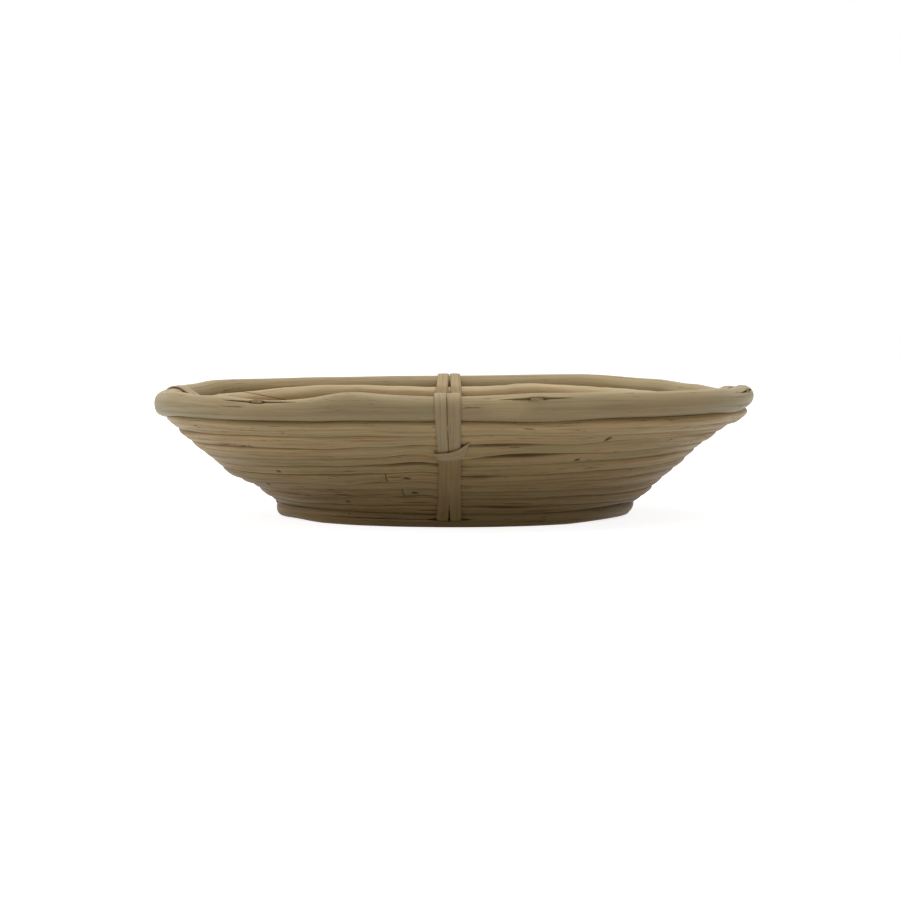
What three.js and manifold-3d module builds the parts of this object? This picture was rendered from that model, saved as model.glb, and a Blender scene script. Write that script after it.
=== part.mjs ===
// A shallow round bowl basket of bent rattan rods: a foot rod, a flat coiled base, ten stacked wall
// hoops, a thick rim rod with a thinner rod nested inside it, and split-cane ties at four sides.
// Millimetres, +Z up, the front is -Y, and the origin is on the table under the middle of the basket.
import * as THREE from 'three';
import Module from 'manifold-3d';
import { mergeVertices } from 'three/addons/utils/BufferGeometryUtils.js';

// Driving dimensions of the rods
const FOOT_RING_RADIUS = 100.2;
const FOOT_ROD = 10.7;
const FOOT_FLAT = 0.5;
const BASE_ROD = 8.8;
const BASE_EYE_RADIUS = 5.6;
const BASE_TIP = 2.0;
const COURSE_RODS = [8.2, 8.2, 7.7, 8.2, 8.4, 7.8, 8.1, 8.6, 8.2, 8.6];
const RIM_ROD = 13.6;
const RIM_INNER_ROD = 8.8;

// How the rods lean on one another, in degrees from level
const FOOT_SHOULDER = 54;
const WALL_SLOPE = 38.6;
const RIM_SHOULDER = 64;

// Clearances between rods, between turns of the coiled base, and round each strip and peg
const ROD_GAP = 0.35;
const COIL_GAP = 0.45;
const STRIP_GAP = 0.3;
const BUTT_GAP = 0.6;
const PEG_GAP = 0.3;

// Where the rods are joined to themselves, in degrees round from the right side
const COURSE_JOINTS = [60, 150, -105, 30, -105, 120, 75, 45, 135, 105];
const FOOT_SCARF = 60;
const RIM_JOINT = -91;
const RIM_INNER_SCARF = 124;
const SCARF_HALF_SPAN = 15;
const SCARF_TIP_SHARE = 0.8;

// How the handmade stack leans: the left wall bulges out and the right one in, and the rim tilts
const WALL_BULGE = 2.2;
const RIM_TILT = 1.2;

// Split-cane strips
const STRIP_WIDTH = 6.6;
const STRIP_THICKNESS = 1.2;
const STRIP_SPACING = 0.6;
const TIE_WIDTH = 4.6;
const TIE_SLANT = 14;
const TIE_COURSE = 7;
const FRONT_SHIFT = -3;
const SLOT_HEIGHT = 4.6;

// Pegs through the rim, placed in degrees round from the right side
const PEG_ANGLES = [-129, -75, -13, 45, 103, 152];
const PEG_WIDTH = 7.5;
const PEG_THICKNESS = 2.2;
const PEG_PROUD = 0.3;
const PEG_RISE_ON_RIM = 43;
const PEG_BITE = 3;
const SPLIT_LENGTH = 42;

// Facets of the rods
const STEPS = 24;
const COIL_SIDES = 6;
const FOOT_SIDES = 10;
const RIM_SIDES = 12;
const RIM_INNER_SIDES = 8;
const ARC_STEP = 26;

// Finishes
const PALE = { color: 0xa48c68, roughness: 0.62, metalness: 0 };
const TAN = { color: 0x8a7658, roughness: 0.6, metalness: 0 };
const RIM_TAN = { color: 0x8f7e63, roughness: 0.55, metalness: 0 };
const CANE = { color: 0x9c8763, roughness: 0.5, metalness: 0 };

const wasm = await Module();
wasm.setup();

const rad = (degrees) => THREE.MathUtils.degToRad(degrees);
const STEP = 360 / STEPS;
const PHASE = STEP / 2;

// The ties at the left and right stand one facet of the hoops behind the ends of the basket
const sideSetBack = STEP;

// Places of the rods in one upright half-section: each is a circle { r, z, rod }
function beside(circle, angle, distance, rod) {
  const r = circle.r + distance * Math.cos(rad(angle));
  const z = circle.z + distance * Math.sin(rad(angle));
  return { r, z, rod };
}

function touching(a, rodB, gap) {
  return a / 2 + rodB / 2 + gap;
}

const footFlatHeight = Math.min((FOOT_ROD / 2) * Math.cos(Math.PI / FOOT_SIDES), FOOT_ROD / 2 - FOOT_FLAT);
const foot = { r: FOOT_RING_RADIUS, z: footFlatHeight, rod: FOOT_ROD };

const courses = [];
COURSE_RODS.forEach((rod, index) => {
  const below = index === 0 ? foot : courses[index - 1];
  const lean = index === 0 ? FOOT_SHOULDER : WALL_SLOPE;
  courses.push(beside(below, lean, touching(below.rod, rod, ROD_GAP), rod));
});
const firstCourse = courses[0];
const topCourse = courses[courses.length - 1];
const rim = beside(topCourse, RIM_SHOULDER, touching(topCourse.rod, RIM_ROD, ROD_GAP), RIM_ROD);

// The inner rim rod rests on the top hoop and against the rim rod, so it closes a triangle with them
const topToRim = touching(topCourse.rod, RIM_ROD, ROD_GAP);
const topToInner = touching(topCourse.rod, RIM_INNER_ROD, ROD_GAP);
const rimToInner = touching(RIM_ROD, RIM_INNER_ROD, ROD_GAP);
const innerCosine = (topToRim ** 2 + topToInner ** 2 - rimToInner ** 2) / (2 * topToRim * topToInner);
const innerTurn = THREE.MathUtils.radToDeg(Math.acos(innerCosine));
const rimInner = beside(topCourse, RIM_SHOULDER + innerTurn, topToInner, RIM_INNER_ROD);

// The base coil fits inside the first hoop and rests on the shoulder of the foot rod
const baseEdge = firstCourse.r - firstCourse.rod / 2 - ROD_GAP;
const baseLastRadius = baseEdge - BASE_ROD / 2;
const baseReach = touching(FOOT_ROD, BASE_ROD, ROD_GAP);
const baseHeight = foot.z + Math.sqrt(baseReach ** 2 - (foot.r - baseLastRadius) ** 2);

// The handmade lean: a point of the plain section at one angle, moved to where it really lies
function warp(r, z, angle) {
  const rise = (z - firstCourse.z) / (topCourse.z - firstCourse.z);
  const level = THREE.MathUtils.clamp(rise, 0, 1);
  const bulge = -WALL_BULGE * Math.sin(Math.PI * level) * Math.cos(rad(angle));
  const out = r + bulge * Math.sin(rad(WALL_SLOPE));
  const up = z - bulge * Math.cos(rad(WALL_SLOPE)) + RIM_TILT * level * Math.cos(rad(angle));
  return new THREE.Vector3(out * Math.cos(rad(angle)), out * Math.sin(rad(angle)), up);
}

// A ring bends at STEPS corners, so a point between two corners lies on the straight line there
function onRing(radiusAt, z, angle) {
  const corner = PHASE + STEP * Math.floor((angle - PHASE) / STEP);
  const start = warp(radiusAt(corner), z, corner);
  const end = warp(radiusAt(corner + STEP), z, corner + STEP);
  return start.lerp(end, (angle - corner) / STEP);
}

function cornersBetween(from, to) {
  const angles = [];
  for (let k = Math.ceil((from - PHASE) / STEP + 0.01); PHASE + k * STEP < to - 0.01 * STEP; k += 1) {
    angles.push(PHASE + k * STEP);
  }
  return angles;
}

// Outlines of a rod's section, as [outwards, upwards] pairs
function roundOutline(radius, sides, turn) {
  const points = [];
  for (let k = 0; k < sides; k += 1) {
    const angle = rad(turn + (360 * k) / sides);
    points.push([radius * Math.cos(angle), radius * Math.sin(angle)]);
  }
  return points;
}

function slicedOutline(radius, sides, side, height) {
  const cut = THREE.MathUtils.clamp(height / radius, -1, 1);
  const half = side === 'upper' ? Math.acos(cut) : Math.acos(-cut);
  const middle = side === 'upper' ? Math.PI / 2 : -Math.PI / 2;
  const shift = side === 'upper' ? 0 : sides / 2;
  const points = [];
  for (let k = 0; k < sides; k += 1) {
    const share = (((k + shift) % sides) + 0.5) / sides;
    const angle = middle - half + 2 * half * share;
    points.push([radius * Math.cos(angle), radius * Math.sin(angle)]);
  }
  return points;
}

// Joins section rings into one closed skin, with its faces pointing out
function skin(rings) {
  const count = rings[0].length;
  const points = rings.flat();
  const faces = [];
  for (let i = 0; i + 1 < rings.length; i += 1) {
    for (let j = 0; j < count; j += 1) {
      const a = i * count + j;
      const b = i * count + ((j + 1) % count);
      faces.push([a, b, b + count], [a, b + count, a + count]);
    }
  }
  const last = (rings.length - 1) * count;
  for (let j = 1; j + 1 < count; j += 1) {
    faces.push([0, j + 1, j], [last, last + j, last + j + 1]);
  }
  let volume = 0;
  for (const [a, b, c] of faces) {
    volume += points[a].dot(new THREE.Vector3().crossVectors(points[b], points[c]));
  }
  const order = volume > 0 ? faces : faces.map(([a, b, c]) => [a, c, b]);
  const geometry = new THREE.BufferGeometry().setFromPoints(points);
  geometry.setIndex(order.flat());
  geometry.computeVertexNormals();
  return geometry;
}

function ringOfPoints(centre, angle, outline) {
  const outwards = new THREE.Vector3(Math.cos(rad(angle)), Math.sin(rad(angle)), 0);
  return outline.map(([u, v]) => centre.clone().addScaledVector(outwards, u).setZ(centre.z + v));
}

// A hoop: one rod bent round once, its two cut ends butted at one place
function buttedHoop(circle, joint, sides) {
  const halfGap = THREE.MathUtils.radToDeg(BUTT_GAP / 2 / circle.r);
  const from = joint + halfGap;
  const to = joint + 360 - halfGap;
  const outline = roundOutline(circle.rod / 2, sides, WALL_SLOPE);
  const angles = [from, ...cornersBetween(from, to), to];
  return skin(angles.map((angle) => ringOfPoints(onRing(() => circle.r, circle.z, angle), angle, outline)));
}

// A ring whose two ends overlap in a long slanted scarf: the first end lies above, the last one below
function scarfedRing(circle, joint, sides, flat) {
  const radius = circle.rod / 2;
  const sliver = THREE.MathUtils.radToDeg(ROD_GAP / circle.r);
  const start = joint - SCARF_HALF_SPAN;
  const end = joint + SCARF_HALF_SPAN;
  const tip = SCARF_TIP_SHARE * radius;
  const cutAt = (angle) => THREE.MathUtils.mapLinear(angle, start, end, tip, -tip);
  const press = (outline) => outline.map(([u, v]) => [u, Math.max(v, -flat)]);
  const upper = (angle) => press(slicedOutline(radius, sides, 'upper', cutAt(angle)));
  const lower = (angle) => press(slicedOutline(radius, sides, 'lower', cutAt(angle) - ROD_GAP));
  const whole = press(slicedOutline(radius, sides, 'upper', -radius));
  const stations = [];
  [start, ...cornersBetween(start, end), end].forEach((angle) => stations.push([angle, upper(angle)]));
  stations.push([end + sliver, whole]);
  const back = start + 360;
  cornersBetween(end + sliver, back - 2 * sliver).forEach((angle) => stations.push([angle, whole]));
  stations.push([back - 2 * sliver, whole]);
  stations.push([back - sliver, lower(start)]);
  const lastEnd = end + 360 - sliver;
  cornersBetween(back, lastEnd).forEach((angle) => stations.push([angle, lower(angle - 360)]));
  stations.push([lastEnd, lower(end)]);
  return skin(stations.map(([angle, outline]) => (
    ringOfPoints(onRing(() => circle.r, circle.z, angle), angle, outline))));
}

// The base: one rod wound flat from a small eye, its last turn tapered so that the edge is round
const coilPitch = BASE_ROD + COIL_GAP;
const coilTurns = (baseLastRadius - BASE_EYE_RADIUS) / coilPitch;
const taperTurns = 1 - (BASE_TIP + COIL_GAP) / coilPitch;

function coilRodRadius(turn) {
  const room = coilPitch * (coilTurns + 1 - turn) - COIL_GAP;
  return turn <= coilTurns ? BASE_ROD / 2 : room / 2;
}

function coilRadius(turn) {
  const plain = BASE_EYE_RADIUS + coilPitch * turn;
  return turn <= coilTurns ? plain : baseEdge - coilRodRadius(turn);
}

function baseCoil() {
  const total = 360 * (coilTurns + taperTurns);
  const angles = [0, ...cornersBetween(0, total), total];
  const rings = angles.map((angle) => {
    const centre = onRing((corner) => coilRadius(Math.max(corner, 0) / 360), baseHeight, angle);
    const rodRadius = coilRodRadius(angle / 360);
    return ringOfPoints(centre, angle, roundOutline(rodRadius, COIL_SIDES, 0));
  });
  reportLeastGap(rings);
  return skin(rings);
}

// Prints the least gap between points of the coil that lie more than half a turn apart
function reportLeastGap(rings) {
  let least = Infinity;
  rings.forEach((ring, i) => {
    rings.slice(i + STEPS / 2).forEach((other) => {
      ring.forEach((a) => other.forEach((b) => {
        least = Math.min(least, a.distanceTo(b));
      }));
    });
  });
  console.log(`base_coil: least gap to itself ${least.toFixed(2)} mm`);
}

// Booleans on closed skins
function solid(geometry) {
  const plain = geometry.clone();
  plain.deleteAttribute('normal');
  plain.deleteAttribute('uv');
  const merged = mergeVertices(plain, 1e-4);
  const vertProperties = new Float32Array(merged.attributes.position.array);
  const triVerts = new Uint32Array(merged.index.array);
  return new wasm.Manifold(new wasm.Mesh({ numProp: 3, vertProperties, triVerts }));
}

function bare(body) {
  const mesh = body.getMesh();
  const result = new THREE.BufferGeometry();
  result.setAttribute('position', new THREE.BufferAttribute(new Float32Array(mesh.vertProperties), 3));
  result.setIndex(new THREE.BufferAttribute(new Uint32Array(mesh.triVerts), 1));
  result.computeVertexNormals();
  return result;
}

function cutFrom(geometry, cutters) {
  let body = solid(geometry);
  cutters.forEach((cutter) => {
    body = body.subtract(solid(cutter));
  });
  return bare(body);
}

// Local directions at one side of the basket
function directions(angle) {
  const out = new THREE.Vector3(Math.cos(rad(angle)), Math.sin(rad(angle)), 0);
  const along = new THREE.Vector3(-Math.sin(rad(angle)), Math.cos(rad(angle)), 0);
  const up = new THREE.Vector3(0, 0, 1);
  return { out, along, up };
}

// A rod's circle in the upright plane through a tie, which is set midway between two corners
function circleAt(circle, angle) {
  const point = onRing(() => circle.r, circle.z, angle);
  return { r: point.dot(directions(angle).out), z: point.z, radius: circle.rod / 2 };
}

// The direction in which a taut strip leaves circle a for circle b, both on its left
function tautNormal(a, b) {
  const dr = b.r - a.r;
  const dz = b.z - a.z;
  return Math.atan2(dz, dr) - Math.acos((a.hug - b.hug) / Math.hypot(dr, dz));
}

// The middle line of a strip drawn over a row of circles
function tautLine(circles) {
  const line = [[circles[0].r, circles[0].z]];
  for (let i = 1; i + 1 < circles.length; i += 1) {
    const circle = circles[i];
    const arrive = tautNormal(circles[i - 1], circle);
    const raw = tautNormal(circle, circles[i + 1]) - arrive;
    const turn = Math.atan2(Math.sin(raw), Math.cos(raw));
    const arcs = turn > rad(ARC_STEP) / 2 ? Math.ceil(turn / rad(ARC_STEP)) : 0;
    for (let k = 0; k <= arcs; k += 1) {
      const normal = arrive + turn * (arcs === 0 ? 0.5 : k / arcs);
      const stretch = arcs === 0 ? 1 : 1 / Math.cos(turn / arcs / 2);
      const reach = circle.hug * (arcs > 0 && k > 0 && k < arcs ? stretch : 1);
      line.push([circle.r + reach * Math.cos(normal), circle.z + reach * Math.sin(normal)]);
    }
  }
  const last = circles[circles.length - 1];
  line.push([last.r, last.z]);
  return line;
}

// The closed outline of a strip of even thickness along a line, mitred at its bends
function stripShape(line, thickness) {
  const left = [];
  const right = [];
  line.forEach((point, i) => {
    const here = new THREE.Vector2(...point);
    const before = new THREE.Vector2(...line[Math.max(i - 1, 0)]);
    const after = new THREE.Vector2(...line[Math.min(i + 1, line.length - 1)]);
    const arrive = i === 0 ? after.clone().sub(here) : here.clone().sub(before);
    const leave = i === line.length - 1 ? arrive.clone() : after.clone().sub(here);
    const normalIn = new THREE.Vector2(-arrive.y, arrive.x).normalize();
    const normalOut = new THREE.Vector2(-leave.y, leave.x).normalize();
    const mitre = normalIn.clone().add(normalOut).normalize();
    const half = thickness / 2 / Math.max(mitre.dot(normalIn), 0.5);
    left.push(here.clone().addScaledVector(mitre, half));
    right.push(here.clone().addScaledVector(mitre, -half));
  });
  return new THREE.Shape([...left, ...right.reverse()]);
}

function placed(geometry, x, y, z, origin) {
  geometry.applyMatrix4(new THREE.Matrix4().makeBasis(x, y, z).setPosition(origin));
  return geometry;
}

// An upright strip in the plane of one side, shifted along the side by its own offset
function uprightStrip(line, angle, offset, width) {
  const { out, along, up } = directions(angle);
  const shape = stripShape(line, STRIP_THICKNESS);
  const geometry = new THREE.ExtrudeGeometry(shape, { depth: width, bevelEnabled: false, steps: 1 });
  const origin = along.clone().multiplyScalar(offset + width / 2);
  return placed(geometry, out, up, along.clone().negate(), origin);
}

const hugOver = STRIP_GAP + STRIP_THICKNESS / 2;
const hugged = (circle, angle) => {
  const local = circleAt(circle, angle);
  return { ...local, hug: local.radius + hugOver };
};

// Where the strips meet under the cross tie: outside the groove between two hoops
function foldPoint(angle, shift) {
  const lower = circleAt(courses[TIE_COURSE - 1], angle);
  const upper = circleAt(courses[TIE_COURSE], angle);
  const reach = Math.max(lower.radius, upper.radius) + hugOver;
  const r = (lower.r + upper.r) / 2 + reach * Math.sin(rad(WALL_SLOPE)) + shift * Math.cos(rad(WALL_SLOPE));
  const z = (lower.z + upper.z) / 2 - reach * Math.cos(rad(WALL_SLOPE)) + shift * Math.sin(rad(WALL_SLOPE));
  return { r, z, hug: 0 };
}

// A rim strip: from under the cross tie up the outside, over the rim and down the inside to the base
function rimStripLine(angle) {
  const outside = courses.slice(TIE_COURSE).map((circle) => hugged(circle, angle));
  const inside = courses.slice(0, TIE_COURSE).reverse().map((circle) => hugged(circle, angle));
  const baseLocal = circleAt({ r: baseLastRadius, z: baseHeight, rod: BASE_ROD }, angle);
  const groove = circleAt(firstCourse, angle);
  const tuck = {
    r: (groove.r - groove.radius + baseLocal.r + baseLocal.radius) / 2,
    z: Math.max(groove.z + groove.radius, baseLocal.z + baseLocal.radius) - STRIP_THICKNESS,
    hug: 0,
  };
  const over = [hugged(rim, angle), hugged(rimInner, angle)];
  return tautLine([foldPoint(angle, BUTT_GAP / 2), ...outside, ...over, ...inside, tuck]);
}

// A long tie: down the outside, through the foot rod, under the base and up the other side
function halfTieLine(angle, underHeight) {
  const footLocal = circleAt(foot, angle);
  const corner = { r: footLocal.r + footLocal.radius + hugOver, z: SLOT_HEIGHT, hug: 0 };
  const leaving = [footLocal.r - footLocal.radius - hugOver, SLOT_HEIGHT];
  const rising = [footLocal.r - footLocal.radius - FOOT_ROD / 2, underHeight];
  const outside = courses.slice(0, TIE_COURSE).map((circle) => hugged(circle, angle));
  const climb = tautLine([corner, ...outside, foldPoint(angle, -BUTT_GAP / 2)]);
  return [rising, leaving, ...climb];
}

function longTieLine(angle, underHeight) {
  const near = halfTieLine(angle, underHeight);
  const far = halfTieLine(angle + 180, underHeight).map(([r, z]) => [-r, z]);
  return [...far.reverse(), ...near];
}

// A side tie climbs the wall behind both ends of the basket. Inside the foot rod it turns, and it runs
// straight across under the base, so it is made of two climbing parts and one crossing part.
function sideTie(offset, underHeight) {
  const bendLap = (STRIP_WIDTH / 2) * Math.tan(rad(sideSetBack / 2));
  const climbing = (angle, hand) => {
    const [, leaving, ...climb] = halfTieLine(angle, underHeight);
    const line = [[leaving[0] - bendLap, leaving[1]], leaving, ...climb];
    return solid(uprightStrip(line, angle, hand * offset, STRIP_WIDTH));
  };
  const { out, along } = directions(sideSetBack);
  const [rising, leaving] = halfTieLine(sideSetBack, underHeight);
  const bend = out.clone().multiplyScalar(leaving[0]).addScaledVector(along, offset);
  const rise = bend.x - (leaving[0] - rising[0]);
  const crossing = [
    [-bend.x - bendLap, SLOT_HEIGHT],
    [-bend.x, SLOT_HEIGHT],
    [-rise, underHeight],
    [rise, underHeight],
    [bend.x, SLOT_HEIGHT],
    [bend.x + bendLap, SLOT_HEIGHT],
  ];
  const middle = solid(uprightStrip(crossing, 0, bend.y, STRIP_WIDTH));
  return bare(climbing(sideSetBack, 1).add(middle).add(climbing(180 - sideSetBack, -1)));
}

// The cross tie: a slanted band over both strips, its two tails turned down to the wall
function crossTie(angle, shift) {
  const { out, along, up } = directions(angle);
  const lower = circleAt(courses[TIE_COURSE - 1], angle);
  const upper = circleAt(courses[TIE_COURSE], angle);
  const rod = Math.max(lower.radius, upper.radius);
  const slope = rad(WALL_SLOPE);
  const outwards = out.clone().multiplyScalar(Math.sin(slope)).addScaledVector(up, -Math.cos(slope));
  const climb = out.clone().multiplyScalar(Math.cos(slope)).addScaledVector(up, Math.sin(slope));
  const slant = rad(TIE_SLANT);
  const across = along.clone().multiplyScalar(Math.cos(slant)).addScaledVector(climb, Math.sin(slant));
  const high = rod + 2 * STRIP_GAP + 1.5 * STRIP_THICKNESS;
  const low = rod + STRIP_GAP + STRIP_THICKNESS / 2;
  const reach = (STRIP_WIDTH + STRIP_SPACING / 2 + STRIP_GAP) / Math.cos(slant) + STRIP_THICKNESS;
  const line = [
    [-reach - 2 * STRIP_THICKNESS, low],
    [-reach, low],
    [-reach + STRIP_THICKNESS / 2, high],
    [reach - STRIP_THICKNESS / 2, high],
    [reach, low],
    [reach + 2 * STRIP_THICKNESS, low],
  ];
  const shape = stripShape(line, STRIP_THICKNESS);
  const geometry = new THREE.ExtrudeGeometry(shape, { depth: TIE_WIDTH, bevelEnabled: false, steps: 1 });
  const depth = new THREE.Vector3().crossVectors(across, outwards);
  const origin = out.clone().multiplyScalar((lower.r + upper.r) / 2)
    .addScaledVector(up, (lower.z + upper.z) / 2)
    .addScaledVector(along, shift)
    .addScaledVector(depth, -TIE_WIDTH / 2);
  return placed(geometry, across, outwards, depth, origin);
}

// A peg's frame: it enters the rim's outer shoulder and points at the middle of the inner rim rod
function pegFrame(angle) {
  const rimLocal = circleAt(rim, angle);
  const innerLocal = circleAt(rimInner, angle);
  const { out, along, up } = directions(angle);
  const mouthR = rimLocal.r + rimLocal.radius * Math.cos(rad(PEG_RISE_ON_RIM));
  const mouthZ = rimLocal.z + rimLocal.radius * Math.sin(rad(PEG_RISE_ON_RIM));
  const mouth = out.clone().multiplyScalar(mouthR).addScaledVector(up, mouthZ);
  const aim = out.clone().multiplyScalar(innerLocal.r).addScaledVector(up, innerLocal.z);
  const inwards = aim.clone().sub(mouth).normalize();
  const depth = aim.distanceTo(mouth) - innerLocal.radius + PEG_BITE;
  const rise = new THREE.Vector3().crossVectors(inwards, along);
  return { mouth, inwards, along, rise, depth };
}

function pegBlock(angle, spare, outside) {
  const { mouth, inwards, along, rise, depth } = pegFrame(angle);
  const length = depth + outside + spare;
  const block = new THREE.BoxGeometry(PEG_WIDTH + 2 * spare, PEG_THICKNESS + 2 * spare, length);
  const centre = mouth.clone().addScaledVector(inwards, (depth + spare - outside) / 2);
  return placed(block, along, rise, new THREE.Vector3().crossVectors(along, rise), centre);
}

// The lens-shaped split that the peg holds open in the rim rod
function splitLens(angle) {
  const { mouth, inwards, along, rise } = pegFrame(angle);
  const half = SPLIT_LENGTH / 2;
  const swell = PEG_THICKNESS + 2 * PEG_GAP;
  const lens = new THREE.Shape();
  lens.moveTo(-half, 0);
  lens.quadraticCurveTo(0, -swell, half, 0);
  lens.quadraticCurveTo(0, swell, -half, 0);
  const depth = 3 * RIM_ROD;
  const settings = { depth, bevelEnabled: false, steps: 1, curveSegments: 6 };
  const geometry = new THREE.ExtrudeGeometry(lens, settings);
  const forwards = new THREE.Vector3().crossVectors(along, rise);
  return placed(geometry, along, rise, forwards, mouth.clone().addScaledVector(inwards, -RIM_ROD));
}

// The slot through the foot rod where two long ties pass
function footSlot(angle, shift) {
  const { out, along, up } = directions(angle);
  const local = circleAt(foot, angle);
  const width = 2 * STRIP_WIDTH + STRIP_SPACING + 2 * STRIP_GAP;
  const slot = new THREE.BoxGeometry(2 * FOOT_ROD, width, STRIP_THICKNESS + 2 * STRIP_GAP);
  const centre = out.clone().multiplyScalar(local.r).addScaledVector(along, shift);
  return placed(slot, out, along, up, centre.setZ(SLOT_HEIGHT));
}

// The assembly
const basket = new THREE.Group();

function add(name, geometry, finish) {
  const mesh = new THREE.Mesh(geometry, new THREE.MeshStandardMaterial(finish));
  mesh.name = name;
  basket.add(mesh);
}

const sides = [
  { name: 'front', angle: -90, shift: FRONT_SHIFT },
  { name: 'right', angle: sideSetBack, shift: 0 },
  { name: 'back', angle: 90, shift: -FRONT_SHIFT },
  { name: 'left', angle: 180 - sideSetBack, shift: 0 },
];

const slots = sides.map(({ angle, shift }) => footSlot(angle, shift));
add('foot_rod', cutFrom(scarfedRing(foot, FOOT_SCARF, FOOT_SIDES, footFlatHeight), slots), TAN);
add('base_coil', baseCoil(), PALE);
courses.forEach((circle, index) => {
  const joint = COURSE_JOINTS[index % COURSE_JOINTS.length];
  add(`wall_hoop_${index + 1}`, buttedHoop(circle, joint, COIL_SIDES), TAN);
});

// The rim rod's ends meet under the front tie, which holds them together
const plainRim = buttedHoop(rim, RIM_JOINT, RIM_SIDES);
add('rim_rod', cutFrom(plainRim, PEG_ANGLES.map(splitLens)), RIM_TAN);
const plainInner = scarfedRing(rimInner, RIM_INNER_SCARF, RIM_INNER_SIDES, RIM_INNER_ROD);
const pegHoles = PEG_ANGLES.map((angle) => pegBlock(angle, PEG_GAP, 0));
add('rim_inner_rod', cutFrom(plainInner, pegHoles), PALE);
PEG_ANGLES.forEach((angle, index) => {
  add(`rim_peg_${index + 1}`, pegBlock(angle, 0, PEG_PROUD), CANE);
});

const stripOffset = (STRIP_WIDTH + STRIP_SPACING) / 2;
sides.forEach(({ name, angle, shift }) => {
  const line = rimStripLine(angle);
  add(`${name}_rim_strip_left`, uprightStrip(line, angle, shift - stripOffset, STRIP_WIDTH), CANE);
  add(`${name}_rim_strip_right`, uprightStrip(line, angle, shift + stripOffset, STRIP_WIDTH), CANE);
  add(`${name}_cross_tie`, crossTie(angle, shift), CANE);
});

const baseUnderside = baseHeight - BASE_ROD / 2;
const upperRun = baseUnderside - hugOver;
const lowerRun = upperRun - STRIP_THICKNESS - STRIP_GAP;
const frontTie = longTieLine(-90, upperRun);
add('front_back_tie_left', uprightStrip(frontTie, -90, FRONT_SHIFT - stripOffset, STRIP_WIDTH), CANE);
add('front_back_tie_right', uprightStrip(frontTie, -90, FRONT_SHIFT + stripOffset, STRIP_WIDTH), CANE);
add('side_tie_front', sideTie(-stripOffset, lowerRun), CANE);
add('side_tie_back', sideTie(stripOffset, lowerRun), CANE);

export default basket;
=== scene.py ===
from math import (acos, asin, atan2, ceil, copysign, cos, degrees, dist, exp, hypot, pi, radians, remainder,
                  sin, sqrt, tan, tau)

import bmesh
import bpy
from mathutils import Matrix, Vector, noise


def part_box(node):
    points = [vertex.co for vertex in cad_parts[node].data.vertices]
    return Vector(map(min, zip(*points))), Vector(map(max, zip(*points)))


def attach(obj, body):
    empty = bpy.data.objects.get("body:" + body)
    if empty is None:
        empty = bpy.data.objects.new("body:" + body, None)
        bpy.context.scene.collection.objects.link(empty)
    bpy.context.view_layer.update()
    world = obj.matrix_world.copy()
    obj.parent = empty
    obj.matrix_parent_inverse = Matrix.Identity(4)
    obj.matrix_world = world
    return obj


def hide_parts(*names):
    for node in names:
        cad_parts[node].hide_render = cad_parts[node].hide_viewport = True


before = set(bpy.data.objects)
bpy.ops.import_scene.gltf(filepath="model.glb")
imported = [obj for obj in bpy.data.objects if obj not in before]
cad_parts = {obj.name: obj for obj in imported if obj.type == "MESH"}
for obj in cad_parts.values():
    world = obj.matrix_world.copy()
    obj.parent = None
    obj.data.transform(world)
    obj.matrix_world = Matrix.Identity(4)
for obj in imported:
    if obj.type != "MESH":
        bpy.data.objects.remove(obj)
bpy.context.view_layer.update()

# The foot: one peeled rattan rod bent into a ring, its two ends cut to long wedges that lie on one
# another. It stands flat on the table, and at each side a slit through it takes the ends of the ties.
MM = 0.001
BENDS = 24
SIDE_ANGLES = {"front": -90, "right": 12, "back": 90, "left": 168}
TIE_HOLD = 9
WELD = 0.002 * MM
CROWDING = 0.85
GROOVE_REACH = 0.5
FOOT_ROD = 10.9 * MM
FOOT_CONTACTS = (54, 110)
FOOT_SQUARENESS = 2.3
FOOT_SCARF = 60
SCARF_HALF_SPAN = 15
SCARF_TIP = 0.85
SCARF_GAP = 0.35 * MM
SCARF_SPARE = 2
SLIT_HEIGHT = 4.6 * MM
SLIT = {"half_length": 12.5 * MM, "half_width": 1.15 * MM, "depth": 3.0 * MM}
SLIT_SHIFT = {"front": -1.6, "right": 0, "back": 1.6, "left": 0}
CRACK = {"angle": -113, "half_length": 34 * MM, "half_width": 0.28 * MM, "depth": 1.6 * MM}
# Angle, half width in degrees, millimetres swollen or worn away, and direction on the section.
FOOT_WEAR = [(-22, 22, -1.6, -75), (-12, 26, 2.4, 62), (-155, 14, -1.2, -80), (70, 15, -0.8, -80)]
# Painted shade: the foot ring's colour is darkened, as little light reaches the bottom of the basket.
FOOT_SHADE_TONE = (0.60, 0.55, 0.48)
SPLIT_MIDDLE = 0.004
SPLIT_REACH = 8
LIP_LIFT = 0.12
LIP_WIDTH = 4
SWELL_DETAIL = 2.6
# Depth, and how fine along the rod and round it.
KNIFE_FACETS = ((0.16 * MM, 24, 1.4), (0.10 * MM, 9, 5))
MARK_REACH = 2.6
STAIN_EDGE = 1.3
GAP_FACE = 1.6
GAP_SHADE = (0.22, 0.15, 0.08)
GAP_SHADED = 1.5 * MM
SMOOTH_UNDER = 50
SHEEN = 0.1
GRAIN_RELIEF = 0.12 * MM


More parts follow.
